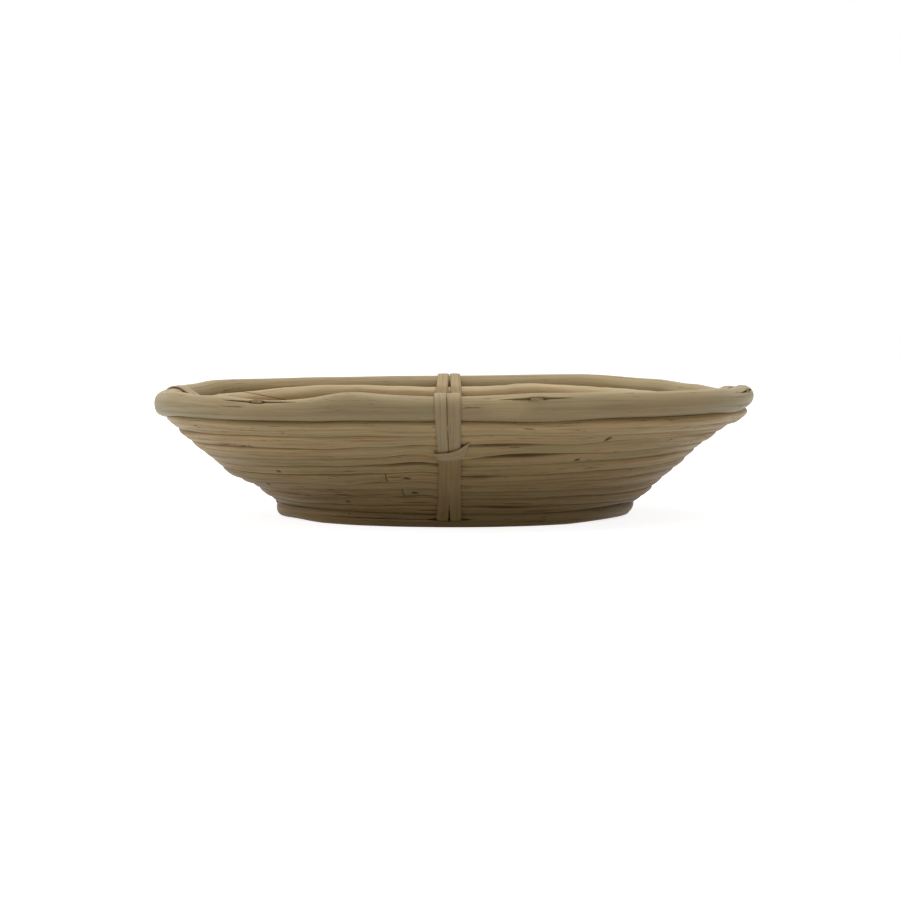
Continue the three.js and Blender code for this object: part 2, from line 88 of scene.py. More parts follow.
def ring_of(node):
    """How a bent rod runs, read from its solid: middle radius and height, and how far the ring leans
    to the right. Only the bends where the section is whole are counted."""
    bends = {}
    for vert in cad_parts[node].data.vertices:
        angle = degrees(atan2(vert.co.y, vert.co.x))
        bend = angle * BENDS / 360 - 0.5
        if abs(bend - round(bend)) < 0.01:
            section = bends.setdefault(round(bend) % BENDS, [])
            section.append((hypot(vert.co.x, vert.co.y), vert.co.z))
    rows = []
    for bend, section in bends.items():
        radii, heights = zip(*section)
        widths = (max(radii) - min(radii), max(heights) - min(heights))
        middle = ((max(radii) + min(radii)) / 2, (max(heights) + min(heights)) / 2)
        rows.append((cos(radians((bend + 0.5) * 360 / BENDS)), widths, middle))
    widest = [max(widths[k] for _, widths, _ in rows) for k in (0, 1)]
    whole = [row for row in rows if all(row[1][k] > 0.97 * widest[k] for k in (0, 1))]
    ring = {}
    for k, name in enumerate(("radius", "height")):
        centre = sum(right for right, _, _ in whole) / len(whole)
        mean = sum(middle[k] for _, _, middle in whole) / len(whole)
        spread = sum((right - centre) ** 2 for right, _, _ in whole)
        lean = sum((right - centre) * (middle[k] - mean) for right, _, middle in whole)
        ring[name + "_lean"] = lean / spread
        ring[name] = mean - ring[name + "_lean"] * centre
    ring["radius"] *= (1 + cos(pi / BENDS)) / 2
    return ring


def ring_point(ring, angle):
    """Radius and height of a rod's middle at one angle, in degrees."""
    lean = cos(radians(angle))
    return ring["radius"] + ring["radius_lean"] * lean, ring["height"] + ring["height_lean"] * lean


def turn_between(angle, other):
    """The shorter way round from one angle to another, in degrees."""
    return (angle - other + 180) % 360 - 180


def bump(angle, centre, half_width):
    """1 at a place on the ring, fading smoothly to 0 on both sides of it."""
    return exp(-((turn_between(angle, centre) / half_width) ** 2))


def between_points(angle, points):
    """A value that passes smoothly from each chosen (angle, value) point to the next, round the ring."""
    for k, (first, low) in enumerate(points):
        second, high = points[(k + 1) % len(points)]
        span = (second - first) % 360 or 360
        share = (angle - first) % 360 / span
        if share <= 1:
            return low + (high - low) * share * share * (3 - 2 * share)
    return 0


def held(angle):
    """How freely a rod may stray: 0 where the ties hold it at the four sides, 1 between them."""
    return 1 - max(bump(angle, side, TIE_HOLD) for side in SIDE_ANGLES.values())


def uneven(x, y, z):
    """A value between -1 and 1 that varies smoothly from place to place, and is the same each time."""
    return noise.noise(Vector((x, y, z)))


def wander(angle, detail, seed):
    """An uneven value between -1 and 1 that closes on itself once round the basket."""
    turn = radians(angle)
    return uneven(detail * cos(turn), detail * sin(turn), seed)


def layers_of(piece):
    """What each corner of a piece carries: its place on the rod, its dust and painted shade in the grooves,
    and its stain and painted shade.
    """
    layers = piece.verts.layers
    return layers.float_vector["rod_place"], layers.float["rod_groove"], layers.float_color["rod_stain_and_shade"]


def add_layers(piece):
    """Gives the corners of a new piece those three values, with no stain or painted shade as yet."""
    piece.verts.layers.float_vector.new("rod_place")
    piece.verts.layers.float.new("rod_groove")
    piece.verts.layers.float_color.new("rod_stain_and_shade")
    layers = layers_of(piece)
    for vert in piece.verts:
        vert[layers[2]] = (1, 1, 1, 1)
    return layers


def drawn_rod(sides, steps):
    """The skin of a rod laid out flat as a grid: one way is the rod's length, from 0 to 1, and the other
    goes once round it. Each corner carries both as its place until the rod is bent."""
    rod = bmesh.new()
    bmesh.ops.create_grid(rod, x_segments=steps, y_segments=sides, size=1)
    place, _, _ = add_layers(rod)
    for vert in rod.verts:
        vert[place] = ((vert.co.x + 1) / 2, pi * vert.co.y, 0)
    return rod


def close_up(rod):
    """Welds the long seam of a bent rod's skin and closes its two ends."""
    bmesh.ops.remove_doubles(rod, verts=[vert for vert in rod.verts if vert.is_boundary], dist=WELD)
    bmesh.ops.holes_fill(rod, edges=[edge for edge in rod.edges if edge.is_boundary])


def crowded(turn, crowd):
    """Brings the corners of a rod's section closer together round one or two directions."""
    if crowd is None:
        return turn
    centre, folds = crowd
    return radians(centre) + turn - CROWDING * sin(folds * turn) / folds


def squared(turn, tilt, squareness):
    """How far a pressed rod's skin lies from its middle in one direction, as a share of half its width."""
    corner = turn - radians(tilt)
    return (abs(cos(corner)) ** squareness + abs(sin(corner)) ** squareness) ** (-1 / squareness)


def opened(angle, turn, reach, radius, splits):
    """Lets the grain part round each split: the skin moves aside, lifts a little at the lips and
    drops to the bottom of the split along its middle. A peg in the split spreads it further."""
    for split in splits:
        along = radius * radians(turn_between(angle, split["angle"]))
        share = 1 - (along / split["half_length"]) ** 2
        if share <= 0:
            continue
        spread = exp(-((along / split.get("spread_length", 1)) ** 4))
        gap = split["half_width"] * share + split.get("spread", 0) * spread * share
        away = remainder(turn - radians(split["turn"]), tau)
        across = reach * away
        if abs(away) < SPLIT_MIDDLE:
            reach -= split["depth"] * sqrt(share)
        elif abs(across) < SPLIT_REACH * gap:
            moved = copysign(hypot(across, gap), across)
            turn += (moved - across) / reach
            reach += LIP_LIFT * gap * exp(-((across / (LIP_WIDTH * gap)) ** 2))
    return turn, reach


def bend_rod(rod, ring, thickness, start, sweep, seed, contacts, squareness, tilt=0, crowd=None, splits=(),
             proud=None, swell=0.03, swellings=(), rise=None, edges=None, marks=(), tone=(1, 1, 1)):
    """Bends a drawn rod round the basket with all that makes it handmade: a pressed section, uneven
    thickness, facets from the peeling knife, a run that strays in and out between the ties, edges that
    give way to the rods above and below, and marks such as knots and nicks in the skin."""
    place, groove, stain = layers_of(rod)
    slope = Vector((cos(radians(tilt)), sin(radians(tilt))))
    outwards = Vector((slope.y, -slope.x))
    stations = {}
    for vert in rod.verts:
        share, turn, _ = vert[place]
        if share not in stations:
            angle = start + sweep * share
            radius, height = ring_point(ring, angle)
            stations[share] = (
                angle, radius,
                height + (rise(angle) if rise else 0),
                1 + 2 * swell * wander(angle, SWELL_DETAIL, seed),
                proud(angle) if proud else 0,
                edges(angle) if edges else (0, 0, 0, 0),
                [mark for mark in marks if MARK_REACH * mark["length"]
                 > ring["radius"] * radians(abs(turn_between(angle, mark["angle"])))],
            )
        angle, radius, height, swollen, aside, (low, high, low_gap, high_gap), near_marks = stations[share]
        turn = crowded(turn, crowd)
        length = ring["radius"] * radians(angle)
        around = Vector((cos(turn), sin(turn)))
        reach = thickness / 2 * squared(turn, tilt, squareness) * swollen
        for centre, half_width, amount, side in swellings:
            reach += amount * MM * bump(angle, centre, half_width) * max(0, cos(turn - radians(side)))
        for cut, along, across in KNIFE_FACETS:
            reach += cut * uneven(length * along, across * around.x, across * around.y + seed)
        # The tone that is given here is painted shade: the lower hoops and the foot are darkened with it.
        colour = Vector(tone)
        for mark in near_marks:
            along = ring["radius"] * radians(turn_between(angle, mark["angle"])) / mark["length"]
            across = reach * remainder(turn - radians(mark["turn"]), tau) / mark["width"]
            across -= mark.get("lean", 0) * along
            here = exp(-((along ** 2 + across ** 2) ** 2))
            reach -= mark["depth"] * here
            colour = colour.lerp(Vector(mark["stain"]), min(1, STAIN_EDGE * here))
        turn, reach = opened(angle, turn, reach, ring["radius"], splits)
        spot = Vector((reach * cos(turn), reach * sin(turn)))
        wider = (high - low) / thickness
        edge, face = spot.dot(slope) * 2 / thickness, spot.dot(outwards) * 2 / thickness
        gaping = (high_gap if edge > 0 else low_gap) * abs(edge) * min(max(GAP_FACE * face, 0), 1)
        spot += slope * (edge * thickness / 2 * wider + (high + low) / 2 - copysign(gaping, edge))
        colour = colour.lerp(Vector(GAP_SHADE), min(1, gaping / GAP_SHADED) * min(1, edge ** 4))
        spot += outwards * (face * thickness / 4 * wider + aside)
        vert[place] = (length + seed, reach * cos(turn), reach * sin(turn))
        # Darker where the rod touches its neighbours: partly dust, partly painted shade in the grooves.
        vert[groove] = max(exp(-((remainder(turn - radians(contact), tau) / GROOVE_REACH) ** 2))
                           for contact in contacts)
        vert[stain] = (*colour, 1)
        vert.co = Vector(((radius + spot.x) * cos(radians(angle)),
                          (radius + spot.x) * sin(radians(angle)), max(height + spot.y, 0)))
    close_up(rod)


def directions(angle):
    """Outwards and along the ring, at one angle in degrees."""
    out = Vector((cos(radians(angle)), sin(radians(angle)), 0))
    return out, Vector((-out.y, out.x, 0))


def cut_scarf(rod, ring, thickness, angle, half_span, lap, lift=0, first_on_top=True):
    """Cuts the two ends of a ring, which run past each other by twice the lap, along one slanted plane:
    one end keeps what is above it and the other what is below it. lift is how far the ring has been
    raised there."""
    place, _, _ = layers_of(rod)
    lengths = [vert[place][0] for vert in rod.verts]
    first, last = min(lengths), max(lengths)
    overlap = ring["radius"] * radians(lap + half_span / SCARF_TIP + SCARF_SPARE)
    radius, height = ring_point(ring, angle)
    out, along = directions(angle)
    drop = SCARF_TIP * thickness / 2 / (radius * sin(radians(half_span)))
    plane = (Vector((0, 0, 1)) + (drop if first_on_top else -drop) * along).normalized()
    middle = out * radius + Vector((0, 0, height + lift))
    for is_first in (True, False):
        on_top = is_first == first_on_top
        near = {vert for vert in rod.verts
                if (vert[place][0] < first + overlap if is_first else vert[place][0] > last - overlap)}
        edges = [edge for edge in rod.edges if all(vert in near for vert in edge.verts)]
        faces = [face for face in rod.faces if all(vert in near for vert in face.verts)]
        bmesh.ops.bisect_plane(
            rod, geom=list(near) + edges + faces, plane_no=plane,
            plane_co=middle + plane * SCARF_GAP / 2 * (1 if on_top else -1),
            clear_inner=on_top, clear_outer=not on_top,
        )
        bmesh.ops.holes_fill(rod, edges=[edge for edge in rod.edges if edge.is_boundary])


def piece_from(rod, name, material, slot, *nodes):
    """Turns a finished bmesh into a piece of the basket that stands for its solids."""
    bmesh.ops.recalc_face_normals(rod, faces=rod.faces)
    mesh = bpy.data.meshes.new(name)
    rod.to_mesh(mesh)
    rod.free()
    mesh.shade_smooth()
    mesh.set_sharp_from_angle(angle=radians(SMOOTH_UNDER))
    mesh.materials.append(material)
    piece = bpy.data.objects.new(name, mesh)
    bpy.context.scene.collection.objects.link(piece)
    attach(piece, "root")
    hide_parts(*nodes)


def add_node(tree, kind, inputs=(), **settings):
    """Adds one shader node, with its options and with the values or links of its inputs by place."""
    new = tree.nodes.new(kind)
    for name, value in settings.items():
        setattr(new, name, value)
    for key, value in dict(inputs).items():
        if isinstance(value, bpy.types.NodeSocket):
            tree.links.new(value, new.inputs[key])
        else:
            new.inputs[key].default_value = value
    return new


def maths(tree, operation, *values, **settings):
    """The result of one sum on values or links."""
    inputs = dict(enumerate(values))
    return add_node(tree, "ShaderNodeMath", inputs, operation=operation, **settings).outputs[0]


def rattan_grain():
    """What every rod and strip shows: long streaks, broad patches of another tint, fine fibres, and
    short dark scars, all lying along the rod."""
    tree = bpy.data.node_groups.new("rattan_grain", "ShaderNodeTree")
    for name, value in (("Along", 14.0), ("Across", 700.0), ("Scars", 0.5)):
        tree.interface.new_socket(name, in_out="INPUT", socket_type="NodeSocketFloat").default_value = value
    for name in ("Streaks", "Patches", "Blush", "Fibres", "Scars", "DustAndShade"):
        tree.interface.new_socket(name, in_out="OUTPUT", socket_type="NodeSocketFloat")
    tree.interface.new_socket("StainAndShade", in_out="OUTPUT", socket_type="NodeSocketColor")
    asked = add_node(tree, "NodeGroupInput")
    given = add_node(tree, "NodeGroupOutput")
    place = add_node(tree, "ShaderNodeAttribute", attribute_name="rod_place").outputs["Vector"]
    groove = add_node(tree, "ShaderNodeAttribute", attribute_name="rod_groove").outputs["Fac"]
    stretch = add_node(tree, "ShaderNodeCombineXYZ", {
        0: asked.outputs["Along"], 1: asked.outputs["Across"], 2: asked.outputs["Across"]})

    def noise_along(scale, detail, shift, roughness=0.6):
        lengthways = add_node(tree, "ShaderNodeVectorMath", {0: place, 1: stretch.outputs[0]},
                              operation="MULTIPLY")
        scaled = add_node(tree, "ShaderNodeVectorMath", {0: lengthways.outputs[0], 1: scale, 2: shift},
                          operation="MULTIPLY_ADD")
        return add_node(tree, "ShaderNodeTexNoise", {
            "Vector": scaled.outputs[0], "Scale": 1.0, "Detail": detail, "Roughness": roughness,
        }).outputs["Fac"]

    def between(value, low, high):
        return add_node(tree, "ShaderNodeMapRange", {0: value, 1: low, 2: high},
                        interpolation_type="SMOOTHSTEP").outputs[0]

    streaks = noise_along((1, 1, 1), 5, (0, 0, 0))
    scars = noise_along((5, 1.2, 1.2), 3, (13, 29, 8))
    lines = noise_along((0.8, 1.3, 1.3), 2, (5, 3, 19), 0.5)
    off_line = maths(tree, "ABSOLUTE", maths(tree, "SUBTRACT", lines, 0.5))
    line = maths(tree, "MULTIPLY", between(off_line, 0.016, 0.002), between(streaks, 0.47, 0.6))
    marked = maths(tree, "MAXIMUM", between(scars, 0.66, 0.70), maths(tree, "MULTIPLY", line, 0.9))
    patchy = add_node(tree, "ShaderNodeMapRange", {0: streaks, 1: 0.3, 2: 0.7, 3: 1.25, 4: 0.6}).outputs[0]
    for name, value in {
        "Streaks": between(streaks, 0.34, 0.68),
        "Patches": between(noise_along((0.9, 0.12, 0.12), 3, (7, 3, 5)), 0.42, 0.66),
        "Blush": between(noise_along((1.3, 0.10, 0.10), 2, (31, 17, 11)), 0.50, 0.72),
        "Fibres": noise_along((3, 3.6, 3.6), 3, (2, 9, 4), 0.7),
        "Scars": maths(tree, "MULTIPLY", marked, asked.outputs["Scars"]),
        # Grooves between rods darkened: partly dust, partly painted shade.
        "DustAndShade": maths(tree, "MULTIPLY", groove, patchy, use_clamp=True),
        "StainAndShade": add_node(tree, "ShaderNodeAttribute", attribute_name="rod_stain_and_shade").outputs["Color"],
    }.items():
        tree.links.new(value, given.inputs[name])
    return tree


def rattan_material(name, pale, deep, tint, blush, dark, along, across, scars, roughness, dust_and_shade=0.75,
                    fibres=1.0):
    """Peeled rattan: a pale and a deep tone in streaks, patches of two other tints, dark scars, and
    brown darkening in the grooves where the rods meet, partly dust and partly painted shade."""
    material = bpy.data.materials.new(name)
    material.use_nodes = True
    tree = material.node_tree
    grain = add_node(tree, "ShaderNodeGroup", {"Along": along, "Across": across, "Scars": scars},
                     node_tree=GRAIN).outputs

    def mixed(under, over, mask, most):
        return add_node(tree, "ShaderNodeMix", {
            0: maths(tree, "MULTIPLY", mask, most), 7: (*over, 1),
            6: (*under, 1) if isinstance(under, tuple) else under,
        }, data_type="RGBA").outputs[2]

    def times(colour, factor):
        return add_node(tree, "ShaderNodeMix", {0: 1.0, 6: colour, 7: factor},
                        data_type="RGBA", blend_type="MULTIPLY").outputs[2]

    thread = add_node(tree, "ShaderNodeMapRange", {
        0: grain["Fibres"], 1: 0.3, 2: 0.7, 3: 1 - 0.22 * fibres, 4: 1 + 0.16 * fibres})
    threads = add_node(tree, "ShaderNodeCombineColor", {k: thread.outputs[0] for k in range(3)})
    colour = times(mixed(pale, deep, grain["Streaks"], 0.85), threads.outputs[0])
    for over, mask, most in ((tint, "Patches", 0.6), (blush, "Blush", 0.6), (dark, "Scars", 0.9),
                             (dark, "DustAndShade", dust_and_shade)):
        colour = mixed(colour, over, grain[mask], most)
    rough = add_node(tree, "ShaderNodeMapRange", {
        0: grain["Streaks"], 3: roughness - 0.06, 4: roughness + 0.1})
    height = maths(tree, "MULTIPLY_ADD", grain["Scars"], -1.2, grain["Fibres"])
    relief = add_node(tree, "ShaderNodeBump", {"Strength": 0.55 * fibres, "Distance": GRAIN_RELIEF,
                                               "Height": height})
    skin = tree.nodes["Principled BSDF"].inputs
    skin["Specular IOR Level"].default_value = SHEEN
    # The stain layer carries real marks and painted shade: the darker lower hoops and foot, and the dark
    # insides of gaping seams.
    tree.links.new(times(colour, grain["StainAndShade"]), skin["Base Color"])
    tree.links.new(rough.outputs[0], skin["Roughness"])
    tree.links.new(relief.outputs[0], skin["Normal"])
    return material


GRAIN = rattan_grain()
WALL_RATTAN = rattan_material(
    "wall_rattan", pale=(0.57, 0.405, 0.205), deep=(0.38, 0.26, 0.12), tint=(0.40, 0.335, 0.17),
    blush=(0.52, 0.335, 0.165), dark=(0.09, 0.05, 0.018), along=14, across=700, scars=0.95, roughness=0.48,
    dust_and_shade=0.6)

foot_ring = ring_of("foot_rod")
slit_turn = degrees(asin((SLIT_HEIGHT - foot_ring["height"]) / (FOOT_ROD / 2)))
slits = [{**SLIT, "angle": angle + SLIT_SHIFT[side], "turn": turn}
         for side, angle in SIDE_ANGLES.items() for turn in (slit_turn, 180 - slit_turn)]
slits.append({**CRACK, "turn": slit_turn})
foot = drawn_rod(sides=56, steps=560)
bend_rod(
    foot, foot_ring, FOOT_ROD, FOOT_SCARF - SCARF_HALF_SPAN, 360 + 2 * SCARF_HALF_SPAN, seed=0.7,
    contacts=FOOT_CONTACTS, squareness=FOOT_SQUARENESS, crowd=(slit_turn, 2), splits=slits, tone=FOOT_SHADE_TONE,
    swellings=FOOT_WEAR,
)
cut_scarf(foot, foot_ring, FOOT_ROD, FOOT_SCARF, SCARF_HALF_SPAN, SCARF_HALF_SPAN)
piece_from(foot, "foot_ring", WALL_RATTAN, "wall_rattan", "foot_rod")

# The base: one rod wound flat from a small eye in the middle, its last turn tapered to nothing so that
# the edge is round. It rests on the shoulder of the foot ring, inside the first hoop.
BASE_ROD = 9.0 * MM
BASE_GAP = 0.08 * MM
BASE_EYE = 4.9 * MM
BASE_TAPER = 0.75
BASE_SQUARENESS = 2.6
BASE_SWELL = 0.015
BASE_STRAY = 0.5 * MM

base_low, base_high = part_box("base_coil")
base_height = (base_low.z + base_high.z) / 2
base_edge = (base_high.y - base_low.y) / 2
base_pitch = BASE_ROD + BASE_GAP
base_turns = (base_edge - BASE_ROD / 2 - BASE_EYE) / base_pitch
PALE_RATTAN = rattan_material(
    "pale_rattan", pale=(0.60, 0.47, 0.285), deep=(0.47, 0.35, 0.195), tint=(0.52, 0.44, 0.265),
    blush=(0.55, 0.37, 0.21), dark=(0.13, 0.075, 0.03), along=10, across=520, scars=0.35, roughness=0.46)

base = drawn_rod(sides=20, steps=1500)
place, groove, _ = layers_of(base)
for vert in base.verts:
    share, turn, _ = vert[place]
    across, up = cos(turn), sin(turn)
    turns = share * (base_turns + BASE_TAPER)
    past = max(0, turns - base_turns)
    half = BASE_ROD / 2 - base_pitch * past / 2
    radius = BASE_EYE + base_pitch * turns if past == 0 else base_edge - half
    angle = tau * turns
    length = pi * base_pitch * turns ** 2 + tau * BASE_EYE * turns
    half *= 1 + BASE_SWELL * uneven(length * 11, 0, 3)
    lift = BASE_STRAY * uneven(3 * cos(angle), 3 * sin(angle), 40 * radius)
    reach = half * squared(turn, 0, BASE_SQUARENESS)
    vert[place] = (length + 3.1, reach * across, reach * up)
    # The turns of the base are darkened where they touch: partly dust, partly painted shade.
    vert[groove] = abs(across) ** 10
    radius += reach * across
    vert.co = Vector((radius * cos(angle), radius * sin(angle), base_height + reach * up + lift))
close_up(base)
piece_from(base, "base_spiral", PALE_RATTAN, "pale_rattan", "base_coil")

# The wall: ten peeled rods, each bent into a hoop with its cut ends butted, stacked outwards and
# upwards. They were pressed together while damp, so their sides are flat, and where one is thicker its
# neighbours give way, which makes the seams between them wander.
WALL_RODS = [8.2, 8.2, 7.7, 8.2, 8.4, 7.8, 8.1, 8.6, 8.2, 8.6]
WALL_JOINTS = [60, 150, -103.6, 30, -106.2, 120, 75, 45, 135, 105]
WALL_SLOPE = 38.6
BUTT_GAP = 0.5 * MM
WALL_PRESS = 0.45 * MM
WALL_SQUARENESS = 4.2
EVEN_SWELL = 0.02
WALL_STRAY = 0.7 * MM
SEAM_STRAY = 0.6 * MM
HOOP_LEANS = [1.7, 2.4, 2.8, 2.0, 0.6, 0.9, 0.2, -0.4, -0.2, 1.0]
HOOP_WIDER = [0, -0.3, -0.4, 0.3, 1.6, 1.0, 0.2, 0, 0.3, 0.4]
# Painted shade: each hoop's colour is multiplied by its tone, so the lower hoops are darker and browner, as
# less light reaches the lower wall.
WALL_SHADE_TONES = [0.64, 0.69, 0.72, 0.80, 0.80, 0.90, 0.89, 0.96, 1.02, 1.04]
# By the hoop below the seam: angle, and millimetres up the slope from the plain place.
SEAM_RUNS = {
    0: [(-150, 0), (-60, 0), (-24, 4.2), (6, 4.2), (50, 0)],
    10: [(-150, 1.4), (-132, 0), (-119, 0.2), (-108, 1.6), (-90, 2.0), (-76, 1.0), (-62, 2.0), (-45, 1.6),
         (-31, 1.3), (-20, 1.3), (-8, 2.8), (0, 2.2), (18, -3.4), (60, 0.6), (150, 0.2), (175, -0.6)],
    9: [(-150, -2.6), (-131, -2.2), (-119, -1.4), (-106, 0), (-84, 0.6), (-62, -1.0), (-40, -0.6), (-10, 0),
        (20, -2.6), (60, 0), (175, -1.6)],
    8: [(-150, -4.6), (-131, -4.6), (-119, -4.2), (-107, -1.6), (-96, 0), (-84, 0), (-65, -1.8), (-52, 0.4),
        (-30, 0), (22, -1.6), (60, 0), (175, -2.4)],
    7: [(-150, -5.8), (-131, -5.6), (-119, -4.4), (-107, -2.4), (-98, 0), (-89, -4.6), (-78, -1.8),
        (-58, -2.8), (-30, -1.6), (22, -1.0), (60, 0), (175, -3.0)],
    6: [(-150, -4.8), (-131, -4.6), (-119, -3.2), (-107, -1.6), (-98, 0.4), (-88, -3.4), (-76, -3.0),
        (-50, -2.4), (0, 0), (60, 0), (175, -2.4)],
    5: [(-150, -4.0), (-131, -4.0), (-119, -3.0), (-107, -0.6), (-98, 0.6), (-86, -4.6), (-70, -4.2),
        (-50, -3.2), (0, 0), (175, -1.6)],
    4: [(-150, -3.2), (-119, -2.8), (-107, 0), (-98, 0.6), (-86, -3.8), (-70, -4.2), (-50, -3.0), (0, 0),
        (175, -1.2)],
    3: [(-150, -2.2), (-119, -1.6), (-98, 1.2), (-86, -3.0), (-70, -3.8), (-50, -3.2), (0, 0)],
    2: [(-150, -2.0), (-119, -2.2), (-98, 0), (-86, -2.4), (-70, -3.2), (-50, -2.0), (0, 0)],
    1: [(-150, -1.8), (-119, -1.8), (-98, 0.6), (-86, -1.4), (-70, -2.0), (-50, -1.0), (0, 0)],
}
# Hoop below, angle, half width in degrees, and millimetres that the seam gapes.
SEAM_GAPS = [
    (7, -76, 8, 2.5), (8, -80, 7, 2.0), (8, -98, 3, 1.2), (6, -100, 8, 1.6), (5, -84, 4, 1.8),
    (4, -110, 4, 1.4), (2, -103, 3, 1.2), (1, -75, 9, 1.4),
    (5, 30, 9, 0.8), (8, 60, 7, 0.9), (7, 140, 8, 0.8), (9, -160, 9, 0.8), (4, -30, 6, 0.6), (3, 100, 8, 0.6),
]
KNOT = {"length": 1.7 * MM, "width": 1.3 * MM, "depth": 0.4 * MM, "stain": (0.24, 0.17, 0.11)}
NICK = {"length": 2.2 * MM, "width": 0.85 * MM, "depth": 0.9 * MM, "stain": (0.08, 0.05, 0.03)}
STREAK = {"length": 6 * MM, "width": 0.5 * MM, "depth": 0.25 * MM, "stain": (0.26, 0.18, 0.12)}
BARK = {"length": 5 * MM, "width": 0.6 * MM, "depth": 0.35 * MM, "stain": (0.16, 0.11, 0.07)}
TAN = {"length": 13 * MM, "width": 2.6 * MM, "depth": -0.1 * MM, "stain": (0.74, 0.70, 0.66)}
# Hoop, angle, direction on the section, and what the mark is.
WALL_MARKS = [
    (9, -145.6, -92, TAN, {}), (9, -150, -92, BARK, {}), (9, -146, -80, BARK, {}),
    (9, -142, -94, BARK, {"length": 4 * MM}), (9, -139.5, -84, BARK, {"length": 3 * MM}),
    (9, -137.6, -90, BARK, {"length": 1.2 * MM, "width": 1.2 * MM}),
    (9, -57.6, -56, KNOT, {"width": 2.2 * MM, "lean": 0.5}), (7, -61.5, -60, KNOT, {}),
    (6, -136, -52, KNOT, {}), (5, -101.2, -50, NICK, {"lean": -0.5}),
    (5, -104, -28, STREAK, {"length": 4 * MM}), (4, -148.3, -55, KNOT, {}),
    (3, -100.4, -44, NICK, {"length": 2.0 * MM}), (3, -122.2, -60, STREAK, {}),
    (3, -99, -75, STREAK, {"length": 9 * MM}), (2, -122.2, -50, KNOT, {}),
    (2, -101, -60, STREAK, {"length": 10 * MM}), (2, -72, -40, STREAK, {"length": 9 * MM}),
    (1, -63, -50, STREAK, {"length": 11 * MM}), (1, -97, -45, STREAK, {"length": 8 * MM}),
]


def seam(course, angle):
    """How far the seam above a hoop strays up the slope from its plain place, and how far it gapes."""
    if course not in SEAM_RUNS:
        return 0, 0
    run = between_points(angle, SEAM_RUNS[course]) * MM + SEAM_STRAY * wander(angle, 3.3, 50 + course)
    gap = sum(wide * MM * bump(angle, centre, half) for at, centre, half, wide in SEAM_GAPS if at == course)
    return run, gap


def hoop_edges(course):
    """How far a hoop's lower and upper edges are shifted up the slope by its neighbours, and how far each
    draws back from its neighbour on the outside."""
    def edges(angle):
        low_run, low_gap = seam(course - 1, angle)
        high_run, high_gap = seam(course, angle)
        return low_run, high_run, low_gap / 2, high_gap / 2
    return edges


def hoop_proud(course, angle):
    """How far a hoop stands out from the plain slope of the wall: some lean, and all stray a little."""
    lean = HOOP_WIDER[course - 1] + HOOP_LEANS[course - 1] * cos(radians(angle))
    stray = WALL_STRAY * held(angle) * wander(angle, 2.1, 1.3 * course + 5)
    return lean * MM * sin(wall_slope) + stray


def marks_on(course):
    """The knots, nicks and other marks that one hoop shows."""
    return [{**kind, "angle": angle, "turn": turn, **its_own}
            for at, angle, turn, kind, its_own in WALL_MARKS if at == course]


def butted(ring, joint):
    """Where a ring with butted ends starts and how far round it goes, in degrees."""
    half_gap = degrees(BUTT_GAP / 2 / ring["radius"])
    return joint + half_gap, 360 - 2 * half_gap


wall_slope = radians(WALL_SLOPE)
wall_rings = [ring_of(f"wall_hoop_{course}") for course in range(1, 11)]
for course, (rod_mm, joint, tone) in enumerate(zip(WALL_RODS, WALL_JOINTS, WALL_SHADE_TONES), start=1):
    ring = wall_rings[course - 1]
    hoop = drawn_rod(sides=52, steps=860)
    bend_rod(
        hoop, ring, rod_mm * MM + WALL_PRESS, *butted(ring, joint), seed=1.3 * course,
        contacts=(WALL_SLOPE, WALL_SLOPE + 180), tilt=WALL_SLOPE, squareness=WALL_SQUARENESS,
        swell=EVEN_SWELL, edges=hoop_edges(course), marks=marks_on(course),
        proud=lambda angle, course=course: hoop_proud(course, angle),
        tone=(tone, tone * (0.84 + 0.16 * tone), tone * (0.46 + 0.54 * tone)),
    )
    piece_from(hoop, f"hoop_{course}", WALL_RATTAN, "wall_rattan", f"wall_hoop_{course}")

# The rim: a thick peeled pole bent round on top of the last hoop, its cut ends butted under the front
# ties. Pegs driven through it have split it open along the grain in six places.
RIM_ROD = 14.0 * MM
RIM_JOINT = -91
RIM_CONTACTS = (244, 197)
RIM_SQUARENESS = 2.3
PEG_ANGLES = [-129, -75, -13, 45, 103, 152]
PEG_RISE = 39
RIM_SPLIT = {"turn": PEG_RISE, "depth": 6.5 * MM, "spread": 0.55 * MM, "spread_length": 5.5 * MM}
RIM_RUN = [(-155, -1.3), (-132, -1.2), (-119, -1.1), (-108, -0.1), (-90, -0.5), (-62, -0.1), (-45, -0.8),
           (-31, -0.9), (-20, -1.9), (-8, -1.2), (2, -3.0), (11, -5.6), (20, -6.8), (31, -4.6), (43, -2.4),
           (62, -0.2), (90, -1.2), (125, -0.8), (148, 0), (160, -1.6), (172, -3.6), (184, -3.6)]
# Half length and half width of each split, in millimetres.
RIM_SPLIT_SIZES = [(27, 0.75), (20.6, 0.75), (22, 0.8), (19, 0.7), (24, 0.75), (22, 0.7)]
RIM_SWELLINGS = [(-73, 9, 1.3, -70), (-90, 7, -0.5, 90), (-75, 6, 0.5, 90), (-110, 6, 1.7, 80),
                 (-128, 11, -2.5, 90), (-149, 7, -1.2, 90), (-2, 12, -1.5, -90), (20, 9, 0.8, 60),
                 (90, 10, 0.7, -40), (175, 9, 0.8, 70)]
RIM_MARKS = [
    {"angle": -80.5, "turn": 4, "length": 11 * MM, "width": 6.5 * MM, "depth": -0.12 * MM,
     "stain": (1.16, 1.16, 1.12)},
    {**KNOT, "angle": 30, "turn": 30},
]

RIM_RATTAN = rattan_material(
    "rim_rattan", pale=(0.435, 0.335, 0.185), deep=(0.345, 0.257, 0.137), tint=(0.35, 0.29, 0.165),
    blush=(0.41, 0.29, 0.16), dark=(0.08, 0.045, 0.02), along=9, across=430, scars=0.6, roughness=0.45,
    dust_and_shade=0.4, fibres=0.6)


def run_through(points):
    """A rod's rises and sags along its length, from chosen (angle, millimetres) points."""
    return lambda angle: between_points(angle, points) * MM


